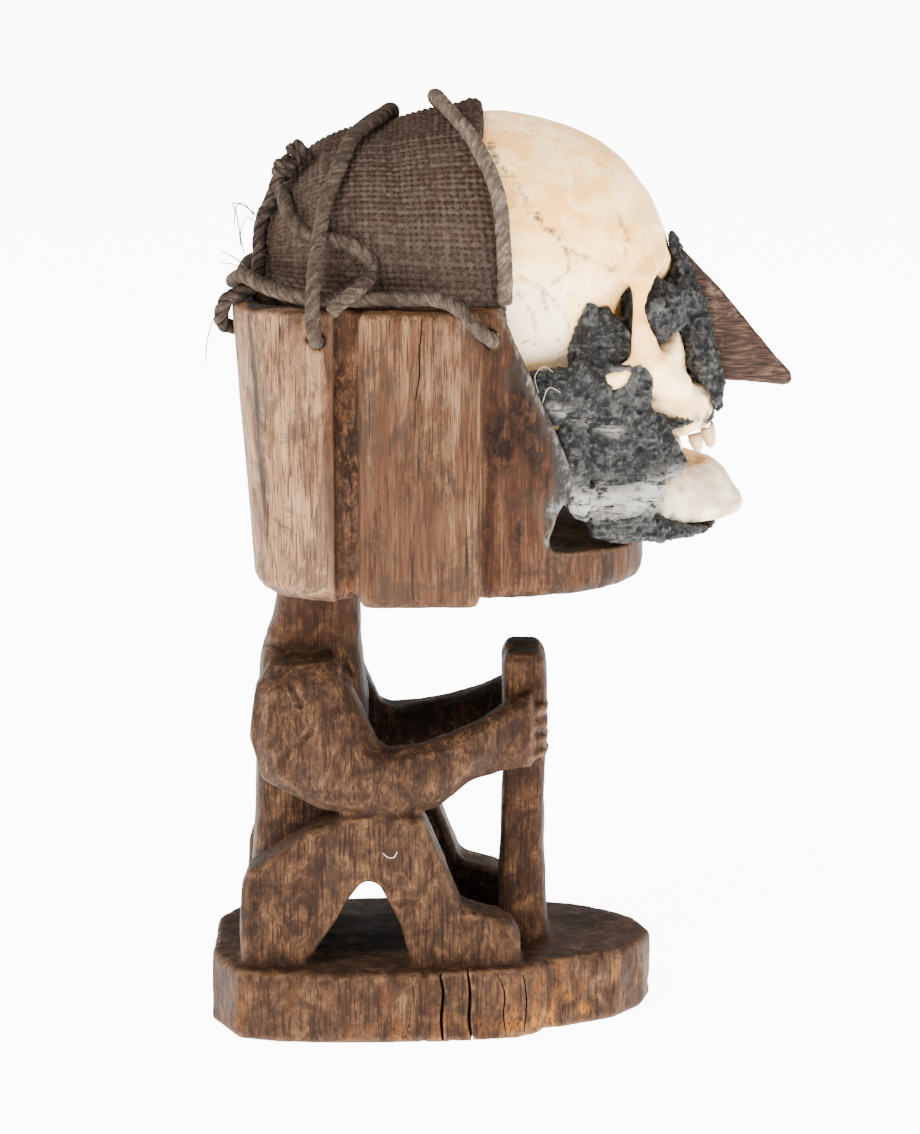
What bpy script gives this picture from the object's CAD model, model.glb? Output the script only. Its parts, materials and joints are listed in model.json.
"""Looks of a wooden ancestor figure that carries a paste-modelled skull in its head box.

The figure faces +X and stands on z = 0. Sizes are in metres, or in mm where MM follows. The
camera and the cord lashing come first, then wood, skull, jaw, teeth, paste, nose, cap and
loose fibres.
"""
import itertools
import json
import math

import bmesh
import bpy
import numpy as np
from mathutils import Matrix, Vector
from mathutils.kdtree import KDTree

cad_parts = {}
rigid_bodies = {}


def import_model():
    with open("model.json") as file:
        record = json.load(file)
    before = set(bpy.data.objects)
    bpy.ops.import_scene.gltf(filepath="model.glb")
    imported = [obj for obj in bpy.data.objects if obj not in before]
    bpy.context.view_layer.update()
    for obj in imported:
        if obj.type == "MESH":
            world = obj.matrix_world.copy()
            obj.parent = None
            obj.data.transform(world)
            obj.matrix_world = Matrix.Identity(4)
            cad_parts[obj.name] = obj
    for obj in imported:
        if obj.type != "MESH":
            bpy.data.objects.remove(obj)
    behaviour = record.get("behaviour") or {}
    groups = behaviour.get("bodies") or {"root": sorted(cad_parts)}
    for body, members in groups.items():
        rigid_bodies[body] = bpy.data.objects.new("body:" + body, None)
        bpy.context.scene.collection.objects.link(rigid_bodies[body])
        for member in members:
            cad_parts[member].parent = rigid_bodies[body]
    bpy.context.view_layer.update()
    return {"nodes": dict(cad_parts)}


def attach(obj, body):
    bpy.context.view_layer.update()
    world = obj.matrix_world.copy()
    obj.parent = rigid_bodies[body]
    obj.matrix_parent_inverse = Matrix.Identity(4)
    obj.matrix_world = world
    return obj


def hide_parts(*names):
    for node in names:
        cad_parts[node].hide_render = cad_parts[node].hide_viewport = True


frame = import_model()
MM = 0.001

# The camera stands to the figure's right and looks a little down on it, and the floor and
# the light around it are plain and pale.
camera = bpy.data.objects.new("camera", bpy.data.cameras.new("camera"))
camera.data.lens = 160.35
camera.data.sensor_width = 36
camera.location = (0.012, -2.2, 0.635)
camera.rotation_euler = (math.radians(90 - 11.2), 0, 0)
bpy.context.scene.collection.objects.link(camera)
bpy.context.scene.camera = camera


def soft_light(name, place, size, power, tint):
    lamp = bpy.data.lights.new(name, "AREA")
    lamp.size = size
    lamp.energy = power
    lamp.color = tint
    holder = bpy.data.objects.new(name, lamp)
    holder.location = place
    aim = Vector((0, 0, 0.2)) - Vector(place)
    holder.rotation_euler = aim.to_track_quat("-Z", "Y").to_euler()
    bpy.context.scene.collection.objects.link(holder)


KEY_WATTS, FILL_WATTS, RIM_WATTS = 96, 24, 28
soft_light("key", (-1.1, -1.5, 1.7), 1.1, KEY_WATTS, (1.0, 0.98, 0.945))
soft_light("fill", (1.6, -1.3, 0.7), 1.4, FILL_WATTS, (0.97, 0.985, 1.0))
soft_light("rim", (0.2, 1.7, 1.9), 1.2, RIM_WATTS, (1.0, 1.0, 1.0))
world = bpy.data.worlds.new("studio")
world.use_nodes = True
world.node_tree.nodes["Background"].inputs["Color"].default_value = (1, 1, 1, 1)
world.node_tree.nodes["Background"].inputs["Strength"].default_value = 1.25
bpy.context.scene.world = world

floor_form = bmesh.new()
bmesh.ops.create_grid(floor_form, x_segments=1, y_segments=1, size=30)
floor_mesh = bpy.data.meshes.new("floor")
floor_form.to_mesh(floor_mesh)
floor_form.free()
floor = bpy.data.objects.new("floor", floor_mesh)
floor_coat = bpy.data.materials.new("pale_floor")
floor_coat.use_nodes = True
floor_shader = floor_coat.node_tree.nodes["Principled BSDF"]
floor_shader.inputs["Base Color"].default_value = (0.92, 0.92, 0.92, 1)
floor_shader.inputs["Roughness"].default_value = 0.9
floor_shader.inputs["Emission Color"].default_value = (1, 1, 1, 1)
floor_shader.inputs["Emission Strength"].default_value = 10.0
floor_mesh.materials.append(floor_coat)
bpy.context.scene.collection.objects.link(floor)

# Cord lashing: a soft rope of plant fibre about 6 mm thick, laid of three strands, tied
# through holes in the box's walls and over the cap. Each length follows its own CAD tube.
# The skull's two rounds come first, because the ropes and the cap lie on them.
ROPE_THICK = 6.4 * MM
RIM = 326 * MM
HEAD_TILT = math.radians(14)
VAULT_HALF = Vector((89, 66.5, 69)) * MM
BACK_HALF = Vector((53, 63, 56)) * MM
REAR_WALL, WALL_THICK, ROOM, CAP_ROOM, EAR_UP = -86.5, 8, 0.4, 4.0, 48 * MM
ear_hole = Vector((REAR_WALL + WALL_THICK + ROOM + CAP_ROOM, 0, 332)) * MM
ear_hole.x += math.hypot(VAULT_HALF.x * math.cos(HEAD_TILT), VAULT_HALF.z * math.sin(HEAD_TILT))
ear_hole -= Matrix.Rotation(-HEAD_TILT, 4, "Y") @ Vector((0, 0, EAR_UP))
HEAD = Matrix.Translation(ear_hole) @ Matrix.Rotation(-HEAD_TILT, 4, "Y")
VAULT_MIDDLE = HEAD @ Vector((0, 0, EAR_UP))
BACK_MIDDLE = HEAD @ Vector((-32 * MM, 0, 61 * MM))
HEAD_MIDDLE = (VAULT_MIDDLE + BACK_MIDDLE) / 2
CAP_OVER_BONE = 4.0 * MM


def noise(points, cell, seed=0):
    """Smooth noise from -1 to 1 at each point, with cells of the given size in x, y and z."""
    scaled = points / np.asarray(cell, float) + 17.31 * seed
    corner = np.floor(scaled).astype(np.int64)
    part = scaled - corner
    part = part * part * (3 - 2 * part)
    total = np.zeros(len(points))
    for step in itertools.product((0, 1), repeat=3):
        spot = corner + step
        mixed = spot[:, 0] * 73856093 ^ spot[:, 1] * 19349663 ^ spot[:, 2] * 83492791
        mixed = (mixed * 2654435761) & 0xFFFFFFFF
        mixed = ((mixed ^ (mixed >> 15)) * 2246822519) & 0xFFFFFFFF
        value = ((mixed >> 8) & 0xFFFF) / 32767.5 - 1
        total += value * np.prod(np.where(step, part, 1 - part), axis=1)
    return total


def layers(points, cell, seed=0, count=3):
    """Several layers of noise, each half as large and as strong as the last."""
    cell = np.ones(3) * np.asarray(cell, float)
    return sum(noise(points, cell / 2 ** i, seed + i) / 2 ** i for i in range(count))


def head_reach(ways, extra):
    """How far from the head's middle the skull's round, grown by extra, lies along each way."""
    back = np.array(HEAD.to_3x3().inverted())
    far = np.zeros(len(ways))
    for centre, half in ((VAULT_MIDDLE, VAULT_HALF), (BACK_MIDDLE, BACK_HALF)):
        half = np.array(half) + extra
        start = back @ np.array(HEAD_MIDDLE - centre) / half
        ray = ways @ back.T / half
        a, b = (ray ** 2).sum(1), 2 * ray @ start
        inside = np.maximum(b * b - 4 * a * (start @ start - 1), 0)
        far = np.maximum(far, (-b + np.sqrt(inside)) / (2 * a))
    return far


def laid(x, y, z, lift):
    """A rough place in mm, its height from the box's rim, moved out onto the cap by a lift."""
    place = np.array((x * MM, y * MM, RIM + z * MM))
    if lift is None:
        return place
    middle = np.array(HEAD_MIDDLE)
    way = (place - middle) / np.linalg.norm(place - middle)
    far = head_reach(way[None], CAP_OVER_BONE + ROPE_THICK / 2 + lift * MM)
    return middle + way * far[0]


def smooth_line(knots, step):
    """Points at an even step along a smooth curve through the knots."""
    knots = np.array(knots)
    ends = np.vstack([2 * knots[0] - knots[1], knots, 2 * knots[-1] - knots[-2]])
    fine = []
    for a, b, c, d in zip(ends, ends[1:], ends[2:], ends[3:]):
        t = (np.arange(24) / 24)[:, None]
        fine.append(0.5 * (2 * b + (c - a) * t + (2 * a - 5 * b + 4 * c - d) * t ** 2
                           + (3 * b - a - 3 * c + d) * t ** 3))
    fine = np.vstack([*fine, knots[-1:]])
    run = np.r_[0, np.cumsum(np.linalg.norm(np.diff(fine, axis=0), axis=1))]
    even = np.linspace(0, run[-1], max(4, int(round(run[-1] / step)) + 1))
    return np.stack([np.interp(even, run, fine[:, i]) for i in range(3)], axis=1), run[-1]


def show(name, points, faces, coat, smooth=True):
    """A mesh object with its coat, in the scene."""
    mesh = bpy.data.meshes.new(name)
    mesh.from_pydata([tuple(p) for p in points], [], [tuple(f) for f in faces])
    mesh.materials.append(coat)
    if smooth:
        mesh.shade_smooth()
    made = bpy.data.objects.new(name, mesh)
    bpy.context.scene.collection.objects.link(made)
    return made


def paint(obj, name, values):
    """Stores one number a vertex, which the coat reads."""
    mark = obj.data.attributes.new(name, "FLOAT", "POINT")
    mark.data.foreach_set("value", np.asarray(values, np.float32))


def hose(line, radii, sides, shape=None):
    """Points and faces of a closed tube along a line, with a radius at each of its points."""
    line = np.asarray(line)
    along = np.gradient(line, axis=0)
    along /= np.linalg.norm(along, axis=1)[:, None]
    side = np.cross(along[0], (0.3, 0.2, 1.0))
    side /= np.linalg.norm(side)
    rings, rounds = [], 2 * np.pi * np.arange(sides) / sides
    for i, (point, way) in enumerate(zip(line, along)):
        side = side - way * (side @ way)
        side /= np.linalg.norm(side)
        up = np.cross(way, side)
        reach = radii[i] * (shape(i, rounds) if shape else np.ones(sides))
        rings.append(point + np.outer(reach * np.cos(rounds), side)
                     + np.outer(reach * np.sin(rounds), up))
    points = np.vstack([*rings, line[:1], line[-1:]])
    count, faces = len(line), []
    for i in range(count - 1):
        for j in range(sides):
            k = (j + 1) % sides
            low, high = i * sides, (i + 1) * sides
            faces.append((low + j, low + k, high + k, high + j))
    first, last = count * sides, count * sides + 1
    for j in range(sides):
        k = (j + 1) % sides
        faces.append((k, j, first))
        faces.append((last - 2 - sides + 1 + j, last - 2 - sides + 1 + k, last))
    return points, faces


def coat_of(name):
    """A new material, its shader and a function that adds a node to it."""
    made = bpy.data.materials.new(name)
    made.use_nodes = True
    nodes, links = made.node_tree.nodes, made.node_tree.links
    shader = nodes["Principled BSDF"]

    def put(socket, value):
        if isinstance(value, bpy.types.NodeSocket):
            links.new(value, socket)
        else:
            socket.default_value = value

    def add(kind, inputs, **settings):
        node = nodes.new("ShaderNode" + kind)
        for key, value in settings.items():
            setattr(node, key, value)
        for key, value in inputs.items():
            put(node.inputs[key], value)
        return node.outputs

    def finish(**inputs):
        for key, value in inputs.items():
            put(shader.inputs[key.replace("_", " ")], value)

    add.finish = finish
    return made, add


def ramp(add, value, *stops):
    """Colours along a value: each stop is a place and a colour or a grey level."""
    node = add("ValToRGB", {"Fac": value})["Color"].node
    band = node.color_ramp
    while len(band.elements) < len(stops):
        band.elements.new(0.5)
    for element, (place, colour) in zip(band.elements, stops):
        element.position = place
        tone = (colour,) * 3 if isinstance(colour, (int, float)) else colour
        element.color = (*tone[:3], 1)
    return node.outputs["Color"]


def mixed(add, share, first, second, blend="MIX"):
    return add("Mix", {0: share, 6: first, 7: second}, data_type="RGBA", blend_type=blend)[2]


def stretched(add, size):
    """The object's own place in space, squeezed by a factor along x, y and z."""
    place = add("TexCoord", {})["Object"]
    return add("VectorMath", {0: place, 1: size}, operation="MULTIPLY")[0]


def mark_of(add, name):
    return add("Attribute", {}, attribute_name=name)["Fac"]


def clouds(add, place, scale, detail=4.0, rough=0.55, twist=0.0):
    return add("TexNoise", {"Vector": place, "Scale": scale, "Detail": detail,
                            "Roughness": rough, "Distortion": twist})["Fac"]


def times(add, first, second):
    return add("Math", {0: first, 1: second}, operation="MULTIPLY")[0]


def raised(add, height, distance, strength=1.0, under=None):
    inputs = {"Height": height, "Distance": distance, "Strength": strength}
    if under is not None:
        inputs["Normal"] = under
    return add("Bump", inputs)["Normal"]


def rope_coat(name, dark, light, stain, groove_share):
    coat, add = coat_of(name)
    place = stretched(add, (1, 1, 1))
    groove, tone = mark_of(add, "groove"), mark_of(add, "fibre")
    fine = clouds(add, place, 1900, 3, 0.75)
    tuft = clouds(add, place, 520, 4, 0.7, 0.6)
    broad = clouds(add, place, 95, 6, 0.7)
    fibre = ramp(add, add("Math", {0: tone, 1: fine}, operation="ADD")[0],
                 (0.38, dark), (0.82, light))
    dirty = mixed(add, ramp(add, broad, (0.46, 0.0), (0.62, 0.85)), fibre, stain)
    dirty = mixed(add, ramp(add, tuft, (0.36, 0.75), (0.50, 0.0)), dirty, stain)
    share = times(add, groove, groove_share)
    colour = mixed(add, share, dirty, tuple(c * 0.3 for c in stain[:3]) + (1,))
    bump = raised(add, tuft, 0.5 * MM, 0.6)
    bump = raised(add, fine, 0.3 * MM, 0.9, bump)
    bump = raised(add, tone, 0.3 * MM, 0.6, bump)
    add.finish(Base_Color=colour, Roughness=0.95, Normal=bump, Specular_IOR_Level=0.02)
    return coat


rope_grey = rope_coat("fibre_rope", (0.034, 0.025, 0.019, 1), (0.150, 0.113, 0.082, 1),
                      (0.045, 0.033, 0.026, 1), 0.3)
rope_worn = rope_coat("fibre_rope_worn", (0.016, 0.011, 0.008, 1), (0.078, 0.058, 0.043, 1),
                      (0.022, 0.015, 0.011, 1), 0.4)
rope_dark = rope_coat("fibre_rope_dark", (0.010, 0.007, 0.006, 1), (0.060, 0.043, 0.033, 1),
                      (0.014, 0.010, 0.008, 1), 0.8)

ROPE_SIDES = 20
ROPE_STEP = 0.8 * MM


def rope(name, knots, thick, coat, strands=3, lay=19 * MM, groove=0.13, fuzz=1.0):
    """A laid rope through the knots, its strands turning once in each lay."""
    line, length = smooth_line(knots, ROPE_STEP)
    count = len(line)
    run = np.linspace(0, length, count)
    wander = layers(np.stack([run, run * 0, run * 0 + len(name)], 1), 22 * MM, 3, 2)
    radii = thick / 2 * (1.02 + 0.06 * wander)
    radii *= np.clip(np.minimum(run, length - run) / (1.2 * MM) + 0.75, 0, 1)
    marks, fibres = [], []

    def lobes(i, rounds):
        turn = strands * (rounds - 2 * np.pi * run[i] / lay)
        dip = (0.5 + 0.5 * np.cos(turn)) ** 4
        hair = noise(np.stack([rounds * 4.2 - run[i] * 1400, rounds * 0 + run[i] * 500,
                               rounds * 0], 1), 1.0, len(name))
        marks.append(dip)
        fibres.append(0.30 * hair + 0.1)
        return 1 - groove * dip + 0.05 * fuzz * hair

    points, faces = hose(line, radii, ROPE_SIDES, lobes)
    made = show(name, points, faces, coat)
    paint(made, "groove", np.r_[np.concatenate(marks), 0.2, 0.2])
    paint(made, "fibre", np.r_[np.concatenate(fibres), 0.2, 0.2])
    return made, line, length


FRONT_LINE = (
    (31, -73.4, 1.4, None), (31, -73.2, 14, 1.2), (30.2, -70, 31.7, 1.2),
    (28.6, -64.3, 45.1, 1.2), (24.4, -56.9, 57, 1.2), (17, -44, 69, 1.2),
    (9.8, -30.8, 76.8, 1.2), (4, -14, 81, 1.2), (1.5, 0, 81, 1.2), (1, 16, 79, 1.2),
    (4, 33, 74, 1.2), (14, 51, 62, 1.2), (25, 64, 44, 1.2), (30, 71, 26, 1.2),
    (31, 73.2, 12, 1.2), (31, 73.4, 1.4, None),
)
MIDDLE_LINE = (
    (-49, -74, -12.5, None), (-49, -84.6, -12.5, None), (-49.3, -89.4, -10.3, None),
    (-49.8, -90.4, -5, None), (-50.2, -89.6, 2, None), (-49.8, -84.5, 11.5, None),
    (-48, -71, 26, 9.6), (-44.7, -56.1, 42, 2.8), (-39.8, -45.3, 56.5, 1.2),
    (-34.9, -31, 66.9, 1.2), (-28.2, -18.4, 72.5, 1.2), (-22, -5, 75, 1), (-18.5, 8, 75, 0.8),
    (-18, 22, 73, 0.8), (-21, 40, 66, 1), (-30, 56, 51, 1.2), (-41, 68, 30, 2.4),
    (-49.4, 85, 11, None), (-50.2, 89.6, 2, None), (-49.8, 90.4, -5, None),
    (-49.3, 89.4, -10.3, None), (-49, 84.6, -12.5, None), (-49, 74, -12.5, None),
)
LOW_LINE = (
    (25, -72, -12.5, None), (25.2, -80.5, -12.5, None), (25.8, -88.5, -11.7, None),
    (22, -95, -8.2, None), (16.5, -96.2, -3, None), (11, -94.3, 2.8, None),
    (2, -88.5, 5.8, None), (-14, -82.5, 5.2, None), (-36, -79.3, 4.5, None),
    (-56, -76.5, 5.2, None), (-70, -67, 8, None), (-80.5, -55, 11.4, None),
    (-86, -40, 7.2, None), (-84, -16, 4.6, None), (-83, 14, 4.8, None), (-81, 42, 4.8, None),
    (-72, 65, 4.8, None), (-58, 77, 4.6, None), (-36, 79, 4.4, None), (-14, 82, 4.6, None),
    (2, 88.5, 4.9, None), (11, 94.3, 2.6, None), (16.5, 96.2, -3, None), (22, 95, -8.2, None),
    (25.8, 88.5, -11.7, None), (25.2, 80.5, -12.5, None), (25, 72, -12.5, None),
)
LOOP_LINE = (
    (-65.7, -31.4, 46.3, 1.2), (-63.5, -39.5, 41.3, 1.2), (-60, -48, 34.8, 1.2),
    (-52.5, -57.5, 29.2, 1.2), (-42.1, -64.2, 28, 1.2), (-33.5, -67.7, 25.4, 1.2),
    (-26.6, -70.3, 20, 1.2), (-26, -72.5, 14.2, None), (-27.4, -77.6, 12.6, None),
    (-31, -85.6, 9.9, None), (-38.7, -89.2, 4.3, None), (-42.9, -90.9, 0.4, None),
)
REAR_LINE = (
    (-68.8, -29, 41.6, 1.2), (-72.7, -28.3, 34.1, 1.2), (-74.4, -30.5, 25.7, 1.2),
    (-74.9, -33, 17, 1.2), (-75, -42, 10.5, None), (-77, -50.5, 6.2, None),
    (-81.5, -54, 3.9, None), (-87.6, -53, 1.2, None), (-90.4, -50, -5, None),
    (-90.2, -45.5, -10.4, None), (-86.6, -42, -12.5, None), (-78, -42, -12.5, None),
)
for rope_name, node_name, places, coat, cut in (
    ("front_rope", "cord_front", FRONT_LINE, rope_grey, 0.05),
    ("middle_rope", "cord_middle", MIDDLE_LINE, rope_worn, 0.06),
    ("rim_rope", "cord_low", LOW_LINE, rope_worn, 0.05),
    ("loop_rope", "cord_loop", LOOP_LINE, rope_worn, 0.05),
    ("rear_rope", "cord_back", REAR_LINE, rope_dark, 0.16),
):
    piece, line, length = rope(rope_name, [laid(*p) for p in places], ROPE_THICK, coat, groove=cut)
    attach(piece, "root")
    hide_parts(node_name)

# Knots at the back of the cap: the rope is wound twice round itself and pulled tight, and
# its tail runs on down to the rear rope.
KNOT_ROPE, TAIL_ROPE = 4.6 * MM, 5.2 * MM
KNOT_STEPS = 8


def wound_knot(name, middle, axis, reach, turns, climb):
    """A short coil of rope round an axis, its two ends tucked in."""
    axis = Vector(axis).normalized()
    side = axis.orthogonal().normalized()
    up = axis.cross(side)
    knots = []
    last = int(turns * KNOT_STEPS)
    for i in range(last + 1):
        angle = 2 * math.pi * i / KNOT_STEPS
        rise = (i / (turns * KNOT_STEPS) - 0.5) * climb
        tuck = 0.45 if i in (0, last) else 1.0
        knots.append(Vector(middle) + axis * rise
                     + (side * math.cos(angle) + up * math.sin(angle)) * reach * tuck)
    return rope(name, knots, KNOT_ROPE, rope_dark, groove=0.16, lay=11 * MM)[0]


knot_places = (
    ("knot_low", laid(-63, -28.8, 54.6, 4.2), (0.25, 0.1, 1), 3.6 * MM, 2.25, 7.5 * MM),
    ("knot_high", laid(-57, -26.5, 61, 4.2), (0.9, 0.1, 0.5), 3.4 * MM, 1.75, 6.0 * MM),
)
for knot_name, middle, axis, reach, turns, climb in knot_places:
    piece = wound_knot(knot_name, middle, axis, reach, turns, climb)
    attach(piece, "root")
    if knot_name == "knot_low":
        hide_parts("cord_knot")

TAIL_LINE = (
    (-60, -27.5, 57, 3.4), (-65.5, -30.5, 50, 4.6), (-68.6, -31, 44, 3.2),
    (-70.8, -28.6, 37.6, 1.6),
)
tail = rope("knot_tail", [laid(*p) for p in TAIL_LINE], TAIL_ROPE, rope_dark, groove=0.16)[0]
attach(tail, "root")

# The carved figure: one log of dry, unpainted hardwood whose grain runs upright. It is worn
# smooth on its edges, checked by drying and darker where hands and smoke have reached it.
WOOD_SKIN = 1.35 * MM
MOST_FACES = 188000


def skin_of(node, name, voxel, smoothing, lumps=()):
    """A fine closed skin over a CAD node and some lumps, with its facets rounded off."""
    copy = frame["nodes"][node].copy()
    copy.data = copy.data.copy()
    copy.modifiers.clear()
    copy.parent = None
    bpy.context.scene.collection.objects.link(copy)
    form = bmesh.new()
    form.from_mesh(copy.data)
    for middle, half in lumps:
        spot = Matrix.Translation(Vector(middle) * MM) @ Matrix.Diagonal((*(Vector(half) * MM), 1))
        bmesh.ops.create_uvsphere(form, u_segments=24, v_segments=16, radius=1, matrix=spot)
    form.to_mesh(copy.data)
    form.free()
    remesh = copy.modifiers.new("skin", "REMESH")
    remesh.mode = "VOXEL"
    remesh.voxel_size = voxel
    smooth = copy.modifiers.new("worn", "SMOOTH")
    smooth.factor = 0.5
    smooth.iterations = smoothing
    return applied(copy, name)


def applied(obj, name):
    """The object with its modifiers applied, under its new name."""
    bpy.context.view_layer.update()
    graph = bpy.context.evaluated_depsgraph_get()
    mesh = bpy.data.meshes.new_from_object(obj.evaluated_get(graph))
    bpy.data.objects.remove(obj)
    mesh.name = name
    made = bpy.data.objects.new(name, mesh)
    bpy.context.scene.collection.objects.link(made)
    return made


def points_of(obj):
    """Places and outward ways of the object's vertices, as arrays."""
    count = len(obj.data.vertices)
    points, ways = np.empty(count * 3), np.empty(count * 3)
    obj.data.vertices.foreach_get("co", points)
    obj.data.vertices.foreach_get("normal", ways)
    return points.reshape(-1, 3), ways.reshape(-1, 3)


def reshape(obj, points):
    obj.data.vertices.foreach_set("co", np.asarray(points, np.float32).ravel())
    obj.data.update()


def thinned(obj, most):
    """The object with its triangles brought under a number."""
    obj.data.calc_loop_triangles()
    share = most / len(obj.data.loop_triangles)
    if share < 1:
        thin = obj.modifiers.new("thin", "DECIMATE")
        thin.ratio = share
        obj = applied(obj, obj.name)
    return obj


def near_line(points, line, axes):
    """Distance of each point to a polyline, seen along the axis that is left out."""
    flat = points[:, axes]
    line = np.asarray(line)
    best = np.full(len(points), 99.0)
    for a, b in zip(line, line[1:]):
        run = b - a
        share = np.clip((flat - a) @ run / (run @ run), 0, 1)
        best = np.minimum(best, np.linalg.norm(flat - a - share[:, None] * run, axis=1))
    return best


def dent(distance, width):
    return np.exp(-(distance / width) ** 2)


def step(value, low, high):
    """0 below low, 1 above high and smooth between."""
    share = np.clip((value - low) / (high - low), 0, 1)
    return share * share * (3 - 2 * share)


wood = skin_of("figure", "carved_wood", WOOD_SKIN, 4)
place, way = points_of(wood)
x, y, z = place.T / MM
on_box = step(z, 196, 202)
in_base = 1 - step(z, 29, 33)
limbs = (1 - on_box) * (1 - in_base)
push = 0.42 * layers(place, (17 * MM, 17 * MM, 23 * MM), 1, 3) * (0.40 + 0.8 * limbs)
push += 0.20 * layers(place, (4.5 * MM, 4.5 * MM, 38 * MM), 5, 2) * (0.5 + on_box)
push += 0.13 * noise(place, (2.2 * MM, 2.2 * MM, 17 * MM), 9)
push += 0.34 * layers(place, (9 * MM, 9 * MM, 7 * MM), 12, 3) * in_base
push -= 0.9 * in_base * step(x, 24, 44) * step(noise(place, (5 * MM, 5 * MM, 9 * MM), 14), 0.2, 0.8)
# Chop marks round the neck, the bite of the knife under the shoulder, and a pitted knot
push -= 1.1 * dent(np.abs(z - 168.5 - 1.2 * noise(place, 6 * MM, 3)), 1.5) * (x < -36) * (y < 22)
near = y < -24
for low, high, width, deep in (
    ((-62, 158), (-57, 149), 0.8, 1.8), ((-39, 161), (-30, 150), 0.9, 2.4),
    ((-74, 150), (-77, 138), 1.0, 1.1), ((-66, 139), (-71, 131), 1.0, 1.3),
    ((-60, 133), (-66, 124), 1.2, 1.5), ((-52, 139), (-58, 132), 0.9, 1.1),
    ((-16, 60), (-6, 62), 1.0, 1.4), ((-80, 62), (-62, 44), 0.7, 0.9),
):
    push -= deep * dent(near_line(place / MM, (low, high), [0, 2]), width) * near
knot = dent(np.hypot(x - 16.5, (z - 62) * 0.75), 5.0) * near
push += 0.7 * knot - 1.5 * knot * step(noise(place, 2.1 * MM, 21), 0.25, 0.6)
# The underside stays flat on what it stands on
push *= step(z, 0.3, 2.5)
reshape(wood, place + way * (push * MM)[:, None])


PAST_FACE = 3


def slit(points, side, width, depth, wander, seed):
    """A wedge that follows a crack seen from the side: points are x and z in mm."""
    line = smooth_line([(px * MM, 0, pz * MM) for px, pz in points], 3.0 * MM)[0]
    count = len(line)
    line = line + np.stack([wander * MM * noise(line, 7 * MM, seed), np.zeros(count),
                            np.zeros(count)], 1)
    along = np.gradient(line, axis=0)
    across = np.stack([-along[:, 2], np.zeros(count), along[:, 0]], 1)
    across /= np.linalg.norm(across, axis=1)[:, None]
    ease = np.sqrt(np.clip(np.sin(np.linspace(0.04, math.pi - 0.04, count)), 0, 1))
    half = across * (width / 2 * MM * (0.35 + 0.65 * ease))[:, None]
    outward = np.sign(side)
    ring = []
    for way_in, share in ((side + PAST_FACE * outward, 1.6), (side - depth * outward, 0.12)):
        for sign in (-1, 1):
            ring.append(line + half * sign * share + np.array((0, way_in * MM, 0)))
    corners = [ring[0], ring[1], ring[3], ring[2]]
    faces = []
    for i in range(count - 1):
        for j in range(4):
            k = (j + 1) % 4
            faces.append((j * count + i, k * count + i, k * count + i + 1, j * count + i + 1))
    faces += [tuple(j * count for j in (3, 2, 1, 0))]
    faces += [tuple(j * count + count - 1 for j in (0, 1, 2, 3))]
    return np.vstack(corners), faces


def carve(obj, cutters, name):
    """Cuts a set of closed wedges out of the object."""
    for i, (points, faces) in enumerate(cutters):
        wedge = show("wedge_%d" % i, points, faces, obj.data.materials[0], smooth=False)
        form = bmesh.new()
        form.from_mesh(wedge.data)
        bmesh.ops.recalc_face_normals(form, faces=form.faces)
        form.to_mesh(wedge.data)
        form.free()
        cut = obj.modifiers.new("cut_%d" % i, "BOOLEAN")
        cut.operation = "DIFFERENCE"
        cut.solver = "MANIFOLD"
        cut.object = wedge
    made = applied(obj, name)
    for left in [o for o in bpy.data.objects if o.name.startswith("wedge_")]:
        bpy.data.objects.remove(left)
    return made


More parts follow.
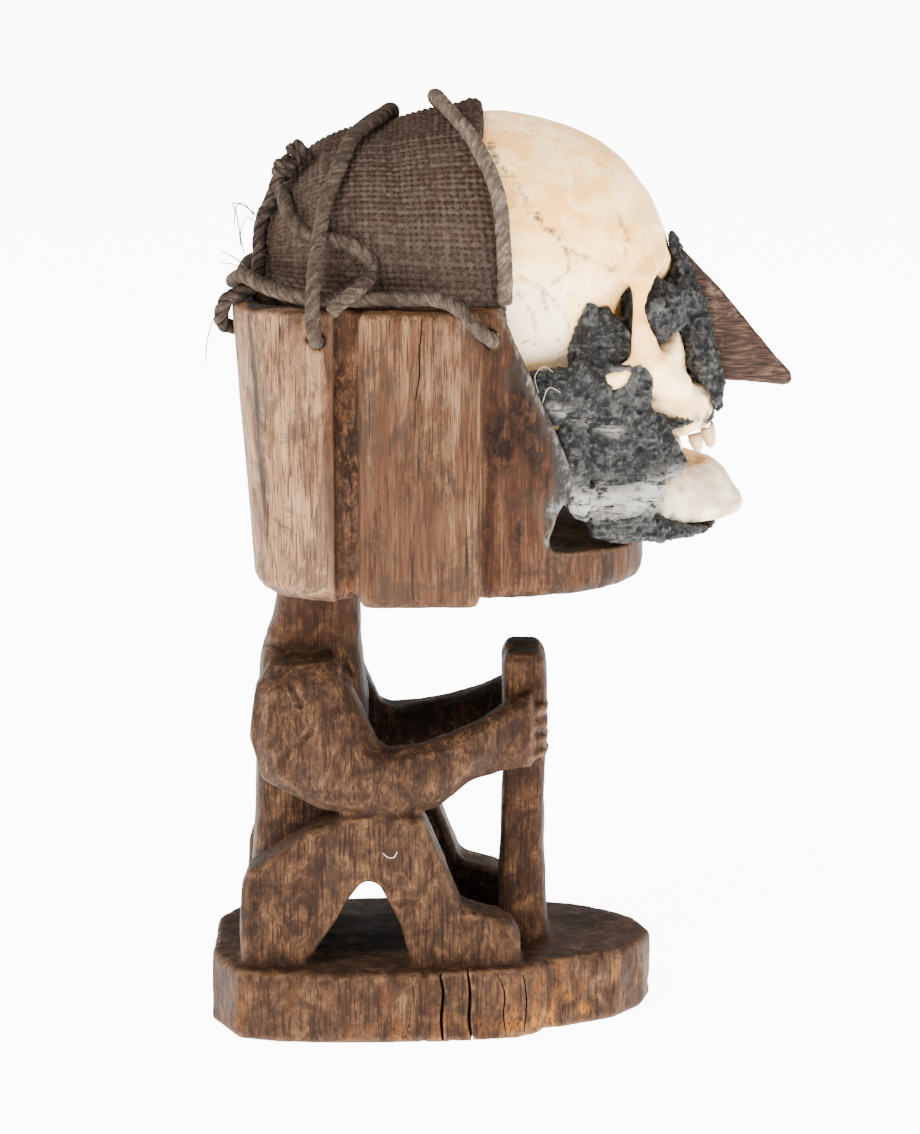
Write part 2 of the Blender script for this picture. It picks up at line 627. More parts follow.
def wood_coat():
    """Dry hardwood with upright grain: tan to red-brown, greyed, stained in its recesses."""
    coat, add = coat_of("weathered_wood")
    fine = clouds(add, stretched(add, (1, 1, 0.05)), 1150, 4, 0.7, 0.15)
    grain = clouds(add, stretched(add, (1, 1, 0.06)), 330, 7, 0.70, 0.3)
    bands = clouds(add, stretched(add, (1, 1, 0.16)), 62, 8, 0.66, 0.5)
    patch = clouds(add, stretched(add, (1, 1, 0.7)), 46, 10, 0.76, 0.6)
    speck = clouds(add, stretched(add, (1, 1, 0.6)), 260, 8, 0.80, 0.4)
    checks = clouds(add, stretched(add, (1, 1, 0.03)), 520, 3, 0.5, 0.6)
    blotch = clouds(add, stretched(add, (1, 1, 0.7)), 120, 10, 0.78, 0.5)
    stain, red = mark_of(add, "stain"), mark_of(add, "red")
    soot, pale = mark_of(add, "soot"), mark_of(add, "pale")
    base = ramp(add, grain, (0.34, (0.085, 0.038, 0.018)), (0.46, (0.205, 0.108, 0.056)),
                (0.55, (0.320, 0.188, 0.105)), (0.68, (0.460, 0.298, 0.180)))
    base = mixed(add, ramp(add, bands, (0.42, 0.75), (0.51, 0.0)), base, (0.135, 0.068, 0.036, 1))
    base = mixed(add, pale, base, (0.500, 0.325, 0.198, 1))
    base = mixed(add, ramp(add, fine, (0.40, 0.85), (0.50, 0.0)), base, (0.075, 0.036, 0.020, 1))
    base = mixed(add, red, base, (0.170, 0.056, 0.022, 1))
    grey = times(add, ramp(add, patch, (0.51, 0.0), (0.56, 0.9)), 0.7)
    base = mixed(add, grey, base, (0.088, 0.060, 0.044, 1))
    worn = ramp(add, blotch, (0.40, (0.040, 0.022, 0.014)), (0.48, (0.095, 0.052, 0.030)),
                (0.55, (0.190, 0.105, 0.056)), (0.64, (0.400, 0.225, 0.115)))
    worn = mixed(add, ramp(add, fine, (0.40, 0.85), (0.50, 0.0)), worn, (0.030, 0.015, 0.009, 1))
    base = mixed(add, mark_of(add, "patina"), base, worn)
    dark = times(add, stain, ramp(add, speck, (0.42, 0.10), (0.54, 1.0)))
    base = mixed(add, dark, base, (0.030, 0.016, 0.010, 1))
    base = add("Gamma", {"Color": base, "Gamma": 1.15})["Color"]
    base = mixed(add, mark_of(add, "shade"), base, (0.22, 0.20, 0.185, 1), "MULTIPLY")
    ochre = times(add, mark_of(add, "ochre"), ramp(add, speck, (0.46, 0.0), (0.52, 1.0)))
    base = mixed(add, ochre, base, (0.300, 0.105, 0.016, 1))
    base = mixed(add, ramp(add, checks, (0.30, 0.95), (0.33, 0.0)), base, (0.010, 0.006, 0.004, 1))
    base = mixed(add, soot, base, (0.014, 0.013, 0.012, 1))
    ash = ramp(add, speck, (0.42, (0.010, 0.010, 0.010)), (0.52, (0.036, 0.035, 0.033)),
               (0.62, (0.140, 0.136, 0.126)))
    base = mixed(add, mark_of(add, "smear"), base, ash)
    edge = add("NewGeometry", {})["Pointiness"]
    rubbed = times(add, ramp(add, edge, (0.515, 0.0), (0.585, 0.75)),
                   ramp(add, speck, (0.42, 0.2), (0.54, 1.0)))
    base = mixed(add, rubbed, base, (0.210, 0.112, 0.055, 1))
    base = mixed(add, ramp(add, edge, (0.40, 0.9), (0.486, 0.0)), base, (0.014, 0.008, 0.005, 1))
    bump = raised(add, checks, 0.8 * MM, 0.5)
    bump = raised(add, grain, 0.8 * MM, 0.7, bump)
    bump = raised(add, blotch, 1.4 * MM, 0.5, bump)
    bump = raised(add, fine, 0.3 * MM, 0.9, bump)
    bump = raised(add, speck, 0.6 * MM, 0.5, bump)
    rough = ramp(add, patch, (0.3, 0.55), (0.7, 0.85))
    add.finish(Base_Color=base, Roughness=rough, Normal=bump, Specular_IOR_Level=0.06)
    return coat


wood.data.materials.clear()
wood.data.materials.append(wood_coat())
wood = thinned(wood, MOST_FACES)
NEAR_BASE, EAR_FACE = -71.5, -91.5
cracks = [
    slit([(3.5, 31), (4.5, 22), (3.8, 10), (4.6, 1)], NEAR_BASE, 1.9, 13, 0.45, 3),
    slit([(15.5, 32), (16.5, 20), (16.0, 9), (17.5, -2)], NEAR_BASE, 2.0, 15, 0.5, 4),
    slit([(28.5, 30), (31.5, 22), (31, 12), (32, 2)], NEAR_BASE + 4, 0.9, 12, 0.6, 5),
    slit([(40.5, 29), (41.5, 16), (40.5, 3)], NEAR_BASE + 7, 0.8, 14, 0.8, 6),
    slit([(-9, 20), (-10.5, 12), (-12, 3)], NEAR_BASE, 0.5, 6, 1.0, 8),
    slit([(-4, 324), (-4.4, 316), (-5.4, 308), (-5.2, 300), (-6.4, 290)],
         EAR_FACE, 0.7, 5, 0.7, 11),
    slit([(-68, 281), (-69.5, 270), (-71, 258), (-72, 250)], EAR_FACE + 8, 0.8, 6, 0.6, 12),
]
wood = carve(wood, cracks, "carved_wood")
place, way = points_of(wood)
x, y, z = place.T / MM
# Where each finish lies: shares from 0 to 1, by place on the figure in mm
REAR_INSIDE, REAR_TAPER, BOX_TALL = -79.4, 9.5, 126
spread = layers(place, 17 * MM, 31, 3)
on_box, in_base = step(z, 196, 203), 1 - step(z, 27, 34)
limbs = (1 - on_box) * (1 - in_base)
inner = on_box * (1 - step(np.abs(y), 71.0, 72.2)) * step(z, 215, 222) * (1 - step(x, 86, 89))
inner *= step(x - REAR_INSIDE - REAR_TAPER * (RIM / MM - z) / BOX_TALL, 0, 0.8)
between = limbs * (1 - step(np.abs(y), 30, 35)) * step(x, -34, -30) * (1 - step(x, 28, 32))
far_inside = limbs * step(way[:, 1] * np.sign(-y), 0.35, 0.8) * step(np.abs(y), 20, 24)
under = step(-way[:, 2], 0.35, 0.9) * step(z, 3, 8)
strip = on_box * step(x, -42.5, -41) * (1 - step(x, -31.5, -29.5)) * (1 - step(np.abs(y), 83, 90))
front_panel = on_box * step(x, 20, 24) * (1 - 0.55 * step(x, 62, 78) * (1 - step(z, 215, 235)))
rear = on_box * (1 - step(x, -46, -40))
SLANTING_EDGE = [(30, 326), (60, 255), (61.5, 250), (54, 236), (50, 225)]
slope = near_line(place / MM, SLANTING_EDGE, [0, 2])
smeared = dent(slope, 2.6 + 1.6 * spread) + 0.4 * dent(slope, 8) * step(spread, -0.2, 0.6)
smeared *= on_box
smeared += on_box * 0.6 * dent(np.hypot(x - 54, z - 231), 9) * step(spread, -0.3, 0.5)
streaks = layers(place, (9 * MM, 9 * MM, 42 * MM), 41, 3)
stain = 0.08 + 0.30 * limbs * step(spread, -0.2, 0.7) + 0.22 * in_base + 0.35 * under
stain += 0.80 * between + 0.75 * far_inside * limbs + 0.50 * strip
stain += front_panel * (0.25 + 0.45 * step(streaks, -0.3, 0.5))
stain += 0.40 * on_box * step(streaks, 0.0, 0.7) + 0.25 * on_box * (1 - step(z, 199, 206))
red = 0.08 + 0.30 * limbs * step(layers(place, 22 * MM, 51, 2), -0.1, 0.8) + 0.45 * between
red += 0.25 * in_base * step(noise(place, 16 * MM, 53), -0.2, 0.7)
red += 0.30 * front_panel + 0.25 * strip
red += 0.5 * limbs * step(x, 26, 30) + 0.35 * limbs * step(z, 165, 172)
pale = rear * (0.35 + 0.35 * step(spread, -0.3, 0.6)) * (1 - step(streaks, 0.1, 0.6))
pale += 0.30 * on_box * (1 - rear) * step(spread, 0.0, 0.8) * (1 - front_panel) * step(z, 270, 300)
low_rim = 1 - step(z, 5, 20 + 6 * spread)
ochre = in_base * (0.25 + 0.75 * step(x, 24, 50)) * (0.35 + 0.65 * low_rim)
ochre *= step(layers(place, (8 * MM, 8 * MM, 14 * MM), 57, 3), 0.0, 0.9)
patina = 0.80 * limbs * (1 - 0.35 * step(z, 165, 172)) + 0.72 * in_base
patina += on_box * 0.22 * step(streaks, -0.2, 0.8)
paint(wood, "stain", np.clip(stain, 0, 0.95))
paint(wood, "red", np.clip(red, 0, 0.8))
paint(wood, "pale", np.clip(pale, 0, 0.6))
paint(wood, "soot", np.clip(0.85 * inner, 0, 0.95))
paint(wood, "smear", np.clip(smeared, 0, 0.95))
paint(wood, "ochre", np.clip(0.75 * ochre, 0, 0.75))
paint(wood, "patina", np.clip(patina, 0, 0.9))
shade = 0.52 * rear + 0.88 * front_panel + 0.62 * strip + 0.88 * limbs + 0.86 * in_base
shade += 0.76 * on_box * (1 - rear) * (1 - front_panel) * (1 - strip) + 0.08 * between
shade += 0.20 * front_panel * step(streaks, -0.1, 0.4) - 0.12 * in_base * step(x, 20, 60)
paint(wood, "shade", np.clip(shade, 0, 0.96))
wood.data.shade_smooth()
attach(wood, "root")
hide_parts("figure")

# The skull without its jaw: dry bone, polished by handling, cream with honey-coloured bands
# and with pitted, darker seams where its plates meet.
bone = skin_of("cranium", "bone_skull", 1.25 * MM, 14)
SEAM = [(24.9, 391.3), (27, 386.8), (31.3, 381), (36.4, 374.7), (41.9, 367.7), (47, 360.7),
        (54.7, 353), (58.2, 347.3)]
CRACKS_IN_BONE = (
    [(58.2, 347.3), (67.7, 345), (77.8, 338.5)],
    [(58.2, 347.3), (58.6, 338.8), (51.3, 334.9)],
    [(31.2, 337.8), (36.3, 338.9), (46.2, 333), (53.5, 326.1), (58.3, 316.8), (60.2, 306.4)],
    [(36.4, 332), (43, 322), (45, 312)], [(47, 331), (50, 321)], [(80, 362), (84, 352), (83, 344)],
)


def bone_marks(points):
    """How much pitted seam, fine crack and chalky plate there is at each point."""
    wiggle = 0.9 * noise(points, 3.0 * MM, 61) + 0.6 * noise(points, 1.3 * MM, 62)
    off_side = np.abs(points[:, 1]) > 22 * MM
    seam = near_line(points / MM, SEAM, [0, 2]) + wiggle
    pits = dent(seam, 2.6) * step(noise(points, 1.5 * MM, 64), 0.05, 0.5)
    fine = np.zeros(len(points))
    for crack in (SEAM, *CRACKS_IN_BONE):
        fine = np.maximum(fine, dent(near_line(points / MM, crack, [0, 2]) + wiggle, 0.55))
    x, _y, z = points.T / MM
    chalk = step(60 - x, 0, 4) * step(337 - z - 0.25 * np.abs(x - 40), 0, 3) * step(z, 296, 304)
    pinholes = step(noise(points, 1.7 * MM, 65), 0.72, 0.82)
    pinholes *= step(layers(points, 16 * MM, 69, 2), 0.1, 0.6)
    return pits * off_side, fine * off_side, chalk, pinholes


place, way = points_of(bone)
pits, fine, chalk, pinholes = bone_marks(place)
push = 0.24 * layers(place, 14 * MM, 66, 3) - 0.55 * pits - 0.35 * fine - 0.35 * pinholes
push += chalk * 0.22 * layers(place, 4 * MM, 67, 3)
u, v, w = ((place - np.array(HEAD.translation)) @ np.array(HEAD.to_3x3())).T / MM
push += 0.28 * layers(place, 5 * MM, 68, 3) * step(u, 60, 78) * (1 - step(w, 36, 50))
reshape(bone, place + way * (push * MM)[:, None])


def bone_coat(name, pale, honey, brown, gloss):
    coat, add = coat_of(name)
    place = stretched(add, (1, 1, 1))
    band = clouds(add, stretched(add, (0.6, 1, 1.3)), 24, 5, 0.6, 0.8)
    fleck = clouds(add, place, 420, 5, 0.7)
    cloud = clouds(add, place, 75, 6, 0.65, 0.8)
    base = ramp(add, band, (0.30, pale), (0.44, tuple((a + b) / 2 for a, b in zip(pale, honey))),
                (0.56, honey))
    base = mixed(add, ramp(add, cloud, (0.38, 0.5), (0.52, 0.0)), base, (*pale, 1))
    base = mixed(add, mark_of(add, "chalk"), base, (0.80, 0.67, 0.48, 1))
    base = mixed(add, ramp(add, fleck, (0.58, 0.0), (0.72, 0.5)), base, (*brown, 1))
    base = mixed(add, mark_of(add, "seam"), base, tuple(c * 0.4 for c in brown) + (1,))
    base = mixed(add, mark_of(add, "dust"), base, (0.030, 0.029, 0.027, 1))
    bump = raised(add, cloud, 0.5 * MM, 0.3)
    bump = raised(add, fleck, 0.15 * MM, 0.5, bump)
    rough = ramp(add, cloud, (0.3, gloss), (0.7, gloss + 0.25))
    add.finish(Base_Color=base, Roughness=rough, Normal=bump, Specular_IOR_Level=0.2,
               Subsurface_Weight=0.05, Subsurface_Scale=0.002)
    return coat


def by_paste(points, names, reach):
    """How close each point lies to the dark paste, from 0 to 1, for the dust round it."""
    spots = []
    for name in names:
        mesh = frame["nodes"][name].data
        flat = np.empty(len(mesh.vertices) * 3)
        mesh.vertices.foreach_get("co", flat)
        spots.append(flat.reshape(-1, 3))
    spots = np.vstack(spots)
    tree = KDTree(len(spots))
    for i, spot in enumerate(spots):
        tree.insert(spot, i)
    tree.balance()
    far = np.array([tree.find(p)[2] for p in points])
    return dent(far, reach)


bone.data.materials.clear()
bone.data.materials.append(bone_coat("old_bone", (0.96, 0.73, 0.39), (0.78, 0.39, 0.090),
                                     (0.15, 0.080, 0.042), 0.34))
bone = thinned(bone, MOST_FACES)
place, way = points_of(bone)
pits, fine, chalk, pinholes = bone_marks(place)
paint(bone, "seam", np.clip(0.9 * pits + 0.65 * fine + 0.7 * pinholes, 0, 0.92))
paint(bone, "chalk", np.clip(0.75 * chalk, 0, 1))
paint(bone, "dust", np.clip(0.95 * by_paste(place, ["paste_face"], 3.2 * MM)
                            * step(layers(place, 4 * MM, 71, 2), -0.7, 0.3), 0, 0.9))
bone.data.shade_smooth()
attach(bone, "root")
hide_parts("cranium")

# The lower jaw: drier, chalky bone with a rusty stain on its body.
jaw = skin_of("mandible", "bone_jaw", 0.9 * MM, 8)
place, way = points_of(jaw)
push = 0.25 * layers(place, 7 * MM, 81, 3) - 0.4 * step(noise(place, 2.2 * MM, 83), 0.5, 0.8)
reshape(jaw, place + way * (push * MM)[:, None])
jaw.data.materials.clear()
jaw.data.materials.append(bone_coat("chalky_bone", (0.50, 0.41, 0.29), (0.36, 0.25, 0.14),
                                    (0.22, 0.10, 0.05), 0.6))
place, way = points_of(jaw)
rust = dent(np.linalg.norm((place / MM - (92, -45, 236)) * (0.7, 0.5, 1.0), axis=1), 8)
paint(jaw, "seam", np.clip(rust * step(layers(place, 5 * MM, 85, 3), -0.5, 0.4), 0, 0.8))
paint(jaw, "chalk", 0.5 * step(layers(place, 8 * MM, 89, 3), -0.3, 0.5))
paint(jaw, "dust", np.clip(by_paste(place, ["paste_jaw", "paste_face"], 3.0 * MM)
                           * step(layers(place, 4 * MM, 87, 2), -0.6, 0.4), 0, 0.9))
jaw.data.shade_smooth()
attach(jaw, "root")
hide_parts("mandible")

# The few teeth that are left, worn and stained at their necks.
tooth_coat = bone_coat("worn_tooth", (0.58, 0.40, 0.22), (0.46, 0.26, 0.11),
                       (0.14, 0.06, 0.03), 0.22)
for i in (1, 2, 3):
    tooth = skin_of("tooth_%d" % i, "worn_tooth_%d" % i, 0.45 * MM, 4)
    place, way = points_of(tooth)
    reshape(tooth, place + way * (0.12 * MM * layers(place, 2.4 * MM, 90 + i, 2))[:, None])
    tooth.data.materials.clear()
    tooth.data.materials.append(tooth_coat)
    height = (place[:, 2] - place[:, 2].min()) / np.ptp(place[:, 2])
    paint(tooth, "seam", 0.6 * step(height, 0.62, 0.95))
    paint(tooth, "chalk", 0 * height)
    paint(tooth, "dust", 0.5 * step(height, 0.8, 1.0))
    tooth.data.shade_smooth()
    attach(tooth, "root")
    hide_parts("tooth_%d" % i)


# Dark paste: a mix of ash, gum and earth pressed on by hand, matt and crumbly, with pale dust
# on its high places and fine plant hairs in it.
def paste_coat():
    coat, add = coat_of("dark_paste")
    place = stretched(add, (1, 1, 1))
    crumb = clouds(add, place, 900, 5, 0.75)
    lump = clouds(add, place, 260, 9, 0.80)
    smear = clouds(add, place, 95, 10, 0.80)
    streak = clouds(add, stretched(add, (0.22, 1, 1)), 240, 8, 0.75, 0.4)
    base = ramp(add, lump, (0.42, (0.002, 0.002, 0.002)), (0.52, (0.009, 0.009, 0.009)),
                (0.62, (0.045, 0.044, 0.042)))
    base = mixed(add, ramp(add, smear, (0.53, 0.0), (0.60, 0.6)), base, (0.060, 0.058, 0.054, 1))
    ashen = times(add, mark_of(add, "ashen"), ramp(add, streak, (0.44, 0.0), (0.52, 1.0)))
    base = mixed(add, ashen, base, (0.250, 0.235, 0.208, 1))
    base = mixed(add, ramp(add, crumb, (0.60, 0.0), (0.70, 0.55)), base, (0.130, 0.125, 0.112, 1))
    edge = add("NewGeometry", {})["Pointiness"]
    base = mixed(add, ramp(add, edge, (0.52, 0.0), (0.62, 0.6)), base, (0.120, 0.116, 0.106, 1))
    base = mixed(add, ramp(add, edge, (0.40, 0.9), (0.485, 0.0)), base, (0.002, 0.002, 0.002, 1))
    bump = raised(add, lump, 1.2 * MM, 0.7)
    bump = raised(add, crumb, 0.35 * MM, 0.8, bump)
    rough = ramp(add, lump, (0.3, 0.45), (0.6, 0.95))
    add.finish(Base_Color=base, Roughness=rough, Normal=bump, Specular_IOR_Level=0.12)
    return coat


paste = paste_coat()
OVER_CHEEK = (
    ((45, -61.5, 289), (9, 5.5, 8)), ((55, -61.5, 291), (9, 5.5, 8)), ((64, -61, 294), (8, 5.5, 8)),
    ((61, -61.5, 268), (7, 5.5, 10)), ((62, -62, 254), (7, 5, 12)), ((65, -60, 241), (7, 6, 9)),
    ((50, -61.5, 281), (10, 5.5, 8)), ((62, -60.5, 284), (9, 6, 7)),
    ((71, -58.5, 289), (6, 6.5, 6)),
)
PASTE_SKIN = 0.75 * MM
for node_name, piece_name, lumps in (
    ("paste_face", "face_paste", ()), ("paste_jaw", "jaw_paste", OVER_CHEEK),
):
    piece = skin_of(node_name, piece_name, PASTE_SKIN, 6, lumps)
    place, way = points_of(piece)
    ridges = 1 - 2 * np.abs(layers(place, (8 * MM, 8 * MM, 5 * MM), 103, 3))
    push = 0.45 * layers(place, 5.0 * MM, 101, 4) + 0.55 * ridges
    push += 0.30 * noise(place, 1.6 * MM, 107)
    push -= 1.1 * step(noise(place, 3.4 * MM, 109), 0.30, 0.65)
    push += 0.5 * step(noise(place, 1.9 * MM, 111), 0.35, 0.65)
    reshape(piece, place + way * (push * MM)[:, None])
    piece.data.materials.clear()
    piece.data.materials.append(paste)
    piece = thinned(piece, MOST_FACES)
    place, way = points_of(piece)
    chalky = dent(near_line(place / MM, [(60, 240), (82, 239), (106, 245)], [0, 2]), 6.5)
    chalky += 0.5 * dent(near_line(place / MM, [(52, 282), (66, 276), (80, 270)], [0, 2]), 2.5)
    paint(piece, "ashen", np.clip(1.1 * chalky, 0, 0.9))
    piece.data.shade_smooth()
    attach(piece, "root")
    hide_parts(node_name)

# The wooden nose: a thin flat blade of dark wood set upright in the nasal opening.
nose = skin_of("nose_board", "nose_blade", 0.55 * MM, 3)
place, way = points_of(nose)
push = 0.12 * layers(place, (9 * MM, 4 * MM, 3 * MM), 121, 3)
reshape(nose, place + way * (push * MM)[:, None])
nose_coat, add = coat_of("dark_nose_wood")
tilted = add("Mapping", {"Vector": add("TexCoord", {})["Object"], "Rotation": (0, 1.0, 0),
                         "Scale": (0.12, 1, 1)})[0]
grain = clouds(add, tilted, 900, 4, 0.65, 0.3)
wear = clouds(add, stretched(add, (1, 1, 1)), 160, 6, 0.7)
base = ramp(add, grain, (0.36, (0.008, 0.004, 0.003)), (0.54, (0.030, 0.015, 0.010)),
            (0.70, (0.085, 0.048, 0.030)))
base = mixed(add, ramp(add, wear, (0.56, 0.0), (0.68, 0.6)), base, (0.105, 0.072, 0.050, 1))
edge = add("NewGeometry", {})["Pointiness"]
base = mixed(add, ramp(add, edge, (0.53, 0.0), (0.63, 0.75)), base, (0.26, 0.175, 0.110, 1))
bump = raised(add, grain, 0.3 * MM, 0.7)
bump = raised(add, wear, 0.3 * MM, 0.3, bump)
add.finish(Base_Color=base, Roughness=0.62, Normal=bump, Specular_IOR_Level=0.08)
nose.data.materials.clear()
nose.data.materials.append(nose_coat)
nose.data.shade_smooth()
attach(nose, "root")
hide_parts("nose_board")

# The cap: a coarse plain weave of spun plant fibre, about three threads to a centimetre,
# pulled over the skull, drawn in at the back and tucked into the box all round. Its threads
# run from the pole at the back of the head to the front edge, and round the head.
CAP_LOW = 315 * MM
CAP_EDGE_TOP, CAP_EDGE_LOW = 23 * MM, 33.5 * MM
EDGE_FOOT, EDGE_RISE = 325 * MM, 70 * MM
CLOTH_OVER_BONE, EDGE_OVER_BONE = 2.0 * MM, 3 * MM
SAMPLES = 4
WEAVE_LENGTHS, WEAVE_ROUND = 50, 150
WAVER, THREAD_RISE, HEM_AT, TUCK = 0.16, 2.5, 0.955, 3.4
pole = Vector((-1, 0.06, 0.02)).normalized()
east = pole.cross(Vector((0, 0, 1))).normalized()
north = east.cross(pole)
columns, rows = WEAVE_ROUND * SAMPLES, WEAVE_LENGTHS * SAMPLES
turn = 2 * np.pi * np.arange(columns) / columns


def cap_point(theta, phi, extra):
    """Places over the skull by their angle from the back and round the head."""
    flat = np.cos(phi)[:, None] * np.array(east) + np.sin(phi)[:, None] * np.array(north)
    ways = np.cos(theta)[:, None] * np.array(pole) + np.sin(theta)[:, None] * flat
    return np.array(HEAD_MIDDLE) + ways * head_reach(ways, extra)[:, None], ways


# Where the cap ends in front, along each of its lengthwise threads
low_end, high_end = np.full(columns, 0.3), np.full(columns, 3.0)
for _ in range(24):
    middle = (low_end + high_end) / 2
    spot = cap_point(middle, turn, EDGE_OVER_BONE)[0]
    share = np.clip((spot[:, 2] - EDGE_FOOT) / EDGE_RISE, 0, 1)
    past = spot[:, 0] > CAP_EDGE_LOW + (CAP_EDGE_TOP - CAP_EDGE_LOW) * share
    high_end = np.where(past, middle, high_end)
    low_end = np.where(past, low_end, middle)
front_end = low_end + 0.008 * noise(np.stack([turn * 9, turn * 0, turn * 0], 1), 1.0, 130)
along, phi = np.meshgrid(np.arange(rows + 1), turn, indexing="ij")
share = ((along + 1.5) / (rows + 1.5)).ravel()
phi = phi.ravel()
theta = np.tile(front_end, rows + 1) * share
spot, ways = cap_point(theta, phi, CLOTH_OVER_BONE)
weft = along.ravel() / SAMPLES + WAVER * noise(spot, 7 * MM, 131)
warp = np.tile(np.arange(columns), rows + 1) / SAMPLES + WAVER * noise(spot, 7 * MM, 132)


def thread_top(across, along, side):
    """Height of one thread set: a round thread that rises and dips along its run."""
    part = across - np.floor(across)
    round_top = np.sqrt(np.clip(1 - ((part - 0.5) / 0.46) ** 2, 0, 1))
    wave = np.cos(np.pi * (along - 0.5) + np.pi * np.floor(across)) * side
    return 0.55 * wave + 0.75 * round_top


warp_top, weft_top = thread_top(warp, weft, 1), thread_top(weft, warp, -1)
height = np.maximum(np.maximum(warp_top, weft_top * 0.92), -0.45)
height = (height + 0.45) / 1.75
over = warp_top > weft_top
fold = dent(theta, 0.50) * np.sin(phi * 11 + 2 * noise(spot, 14 * MM, 135))
darned = dent(np.linalg.norm((spot / MM - (-54, -52, 362)) * (0.8, 0.8, 0.6), axis=1), 11)
sag = 0.6 * layers(spot, 26 * MM, 137, 2)
crown = step(spot[:, 2] / MM, 385, 396)
hem = dent(share - HEM_AT, 0.030)
gathered = dent(np.linalg.norm((spot / MM - (-70, -40, 352)) * (1, 0.8, 0.5), axis=1), 16)
out = height * THREAD_RISE + fold * 1.1 + sag * 0.8 + hem * (0.8 + 1.1 * crown)
out += gathered * 1.6 * noise(spot, (5 * MM, 5 * MM, 16 * MM), 139)
out += darned * 1.3 * noise(spot, (2.2 * MM, 2.2 * MM, 5.0 * MM), 138)
out -= TUCK * step(share, 0.982, 1.0)
spot = spot + ways * (out * MM)[:, None]
keep = spot[:, 2] > CAP_LOW
faces = []
for r in range(rows):
    for c in range(columns):
        k = (c + 1) % columns
        quad = (r * columns + c, r * columns + k, (r + 1) * columns + k, (r + 1) * columns + c)
        if keep[quad[0]] and keep[quad[1]] and keep[quad[2]] and keep[quad[3]]:
            faces.append(quad)


def woven_coat():
    coat, add = coat_of("woven_fibre")
    place = stretched(add, (1, 1, 1))
    fibre = clouds(add, place, 1300, 4, 0.7)
    patch = clouds(add, place, 38, 5, 0.6, 0.5)
    thread = clouds(add, place, 330, 4, 0.65)
    height, tone = mark_of(add, "height"), mark_of(add, "thread")
    base = mixed(add, ramp(add, patch, (0.42, 0.0), (0.58, 1.0)), (0.028, 0.018, 0.0135, 1),
                 (0.025, 0.0135, 0.0095, 1))
    base = mixed(add, ramp(add, thread, (0.46, 0.0), (0.60, 0.6)), base, (0.056, 0.041, 0.032, 1))
    base = mixed(add, tone, base, (0.075, 0.056, 0.043, 1))
    base = mixed(add, ramp(add, fibre, (0.38, 0.65), (0.52, 0.0)), base, (0.010, 0.006, 0.004, 1))
    base = mixed(add, ramp(add, height, (0.30, 0.96), (0.70, 0.0)), base,
                 (0.0055, 0.0036, 0.0028, 1))
    bump = raised(add, fibre, 0.3 * MM, 0.8)
    bump = raised(add, thread, 0.4 * MM, 0.5, bump)
    add.finish(Base_Color=base, Roughness=0.97, Normal=bump, Specular_IOR_Level=0.02)
    return coat


cap = show("woven_cap", spot, faces, woven_coat())
tones = np.random.default_rng(5)
warp_tone, weft_tone = tones.random(WEAVE_ROUND + 2), tones.random(WEAVE_LENGTHS + 2)
thread_tone = np.where(over, warp_tone[np.floor(warp).astype(int) % WEAVE_ROUND],
                       weft_tone[np.floor(weft).astype(int) % WEAVE_LENGTHS])
paint(cap, "height", height)
paint(cap, "thread", 0.5 * thread_tone ** 2 + 0.25 * darned)
form = bmesh.new()
form.from_mesh(cap.data)
bmesh.ops.delete(form, geom=[v for v in form.verts if not v.link_faces], context="VERTS")
bmesh.ops.recalc_face_normals(form, faces=form.faces)
form.to_mesh(cap.data)
form.free()
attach(cap, "root")
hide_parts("cap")

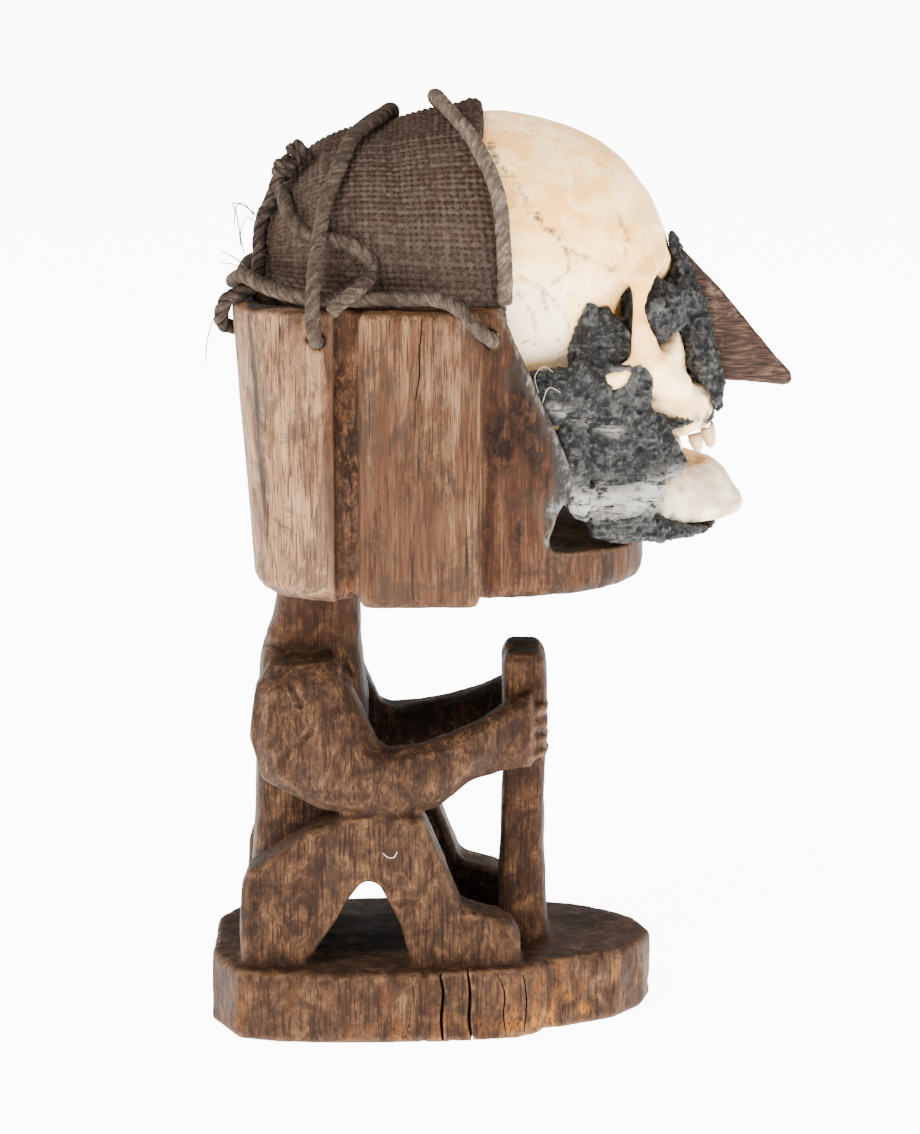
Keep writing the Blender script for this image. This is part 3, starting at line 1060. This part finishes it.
# Loose fibres: a dry tuft and frayed ends behind the head, one hanging thread, a twist of
# pale thread caught on the leg, and two hairs in the paste. They are single plant fibres,
# held by the rope or the paste.
DARK_FIBRE, BROWN_FIBRE = (0.040, 0.027, 0.020, 1), (0.060, 0.042, 0.030, 1)
THREAD_FIBRE, PALE_FIBRE = (0.050, 0.035, 0.026, 1), (0.700, 0.640, 0.540, 1)
HAIR_IN_PASTE = (0.520, 0.470, 0.390, 1)
FIBRES = (
    (((-76.3, -36, 361.5), (-80.6, -36, 365), (-85.7, -36, 366.3), (-84.5, -36, 362.4),
      (-83.3, -36, 355.5), (-82.5, -36, 348.1)), 0.62, DARK_FIBRE),
    (((-76.3, -37, 360.5), (-81, -37, 366.4), (-84.6, -37, 364.2), (-85.2, -37, 357)), 0.46,
     DARK_FIBRE),
    (((-76, -35, 358), (-80, -35.5, 360), (-82.6, -36, 353), (-81, -36.4, 344)), 0.50, DARK_FIBRE),
    (((-77.2, -52, 337.3), (-82.2, -52, 342.9), (-87.4, -52, 346.3), (-89.9, -52, 347.6)), 0.56,
     BROWN_FIBRE),
    (((-78, -51, 338), (-84.6, -51.4, 341.6), (-90.4, -51.6, 342.6)), 0.44, BROWN_FIBRE),
    (((-87, -45, 326.3), (-90.5, -45, 322.8), (-94, -45, 317.6), (-96.4, -45, 310.2),
      (-97.4, -45.4, 304.6), (-97.6, -45.8, 298.6)), 0.46, THREAD_FIBRE),
    (((-21.7, -58.3, 83.4), (-19.5, -58.7, 81.6), (-16.9, -58.7, 81.6), (-15.5, -58.3, 83.9)), 0.26,
     PALE_FIBRE),
    (((52, -64, 297), (47.6, -68, 300), (44, -70, 296), (45.5, -70, 289)), 0.20, HAIR_IN_PASTE),
    (((56, -66, 288), (50, -69, 291), (47, -69.5, 284)), 0.20, HAIR_IN_PASTE),
)
FIBRE_SIDES, FIBRE_STEP = 6, 0.7 * MM


def fibre_coat(name, colour):
    coat, add = coat_of(name)
    tone = clouds(add, stretched(add, (1, 1, 1)), 700, 4, 0.7)
    base = ramp(add, tone, (0.35, tuple(c * 0.55 for c in colour[:3])), (0.65, colour[:3]))
    add.finish(Base_Color=base, Roughness=0.8, Normal=raised(add, tone, 0.1 * MM, 0.5))
    return coat


for i, (places, thick, colour) in enumerate(FIBRES):
    line = smooth_line([np.array(p) * MM for p in places], FIBRE_STEP)[0]
    radii = np.full(len(line), thick / 2 * MM) * (1 + 0.25 * noise(line, 3 * MM, 150 + i))
    points, faces = hose(line, radii, FIBRE_SIDES)
    name = "loose_fibre_%d" % (i + 1)
    fibre = show(name, points, faces, fibre_coat(name, colour))
    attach(fibre, "root")
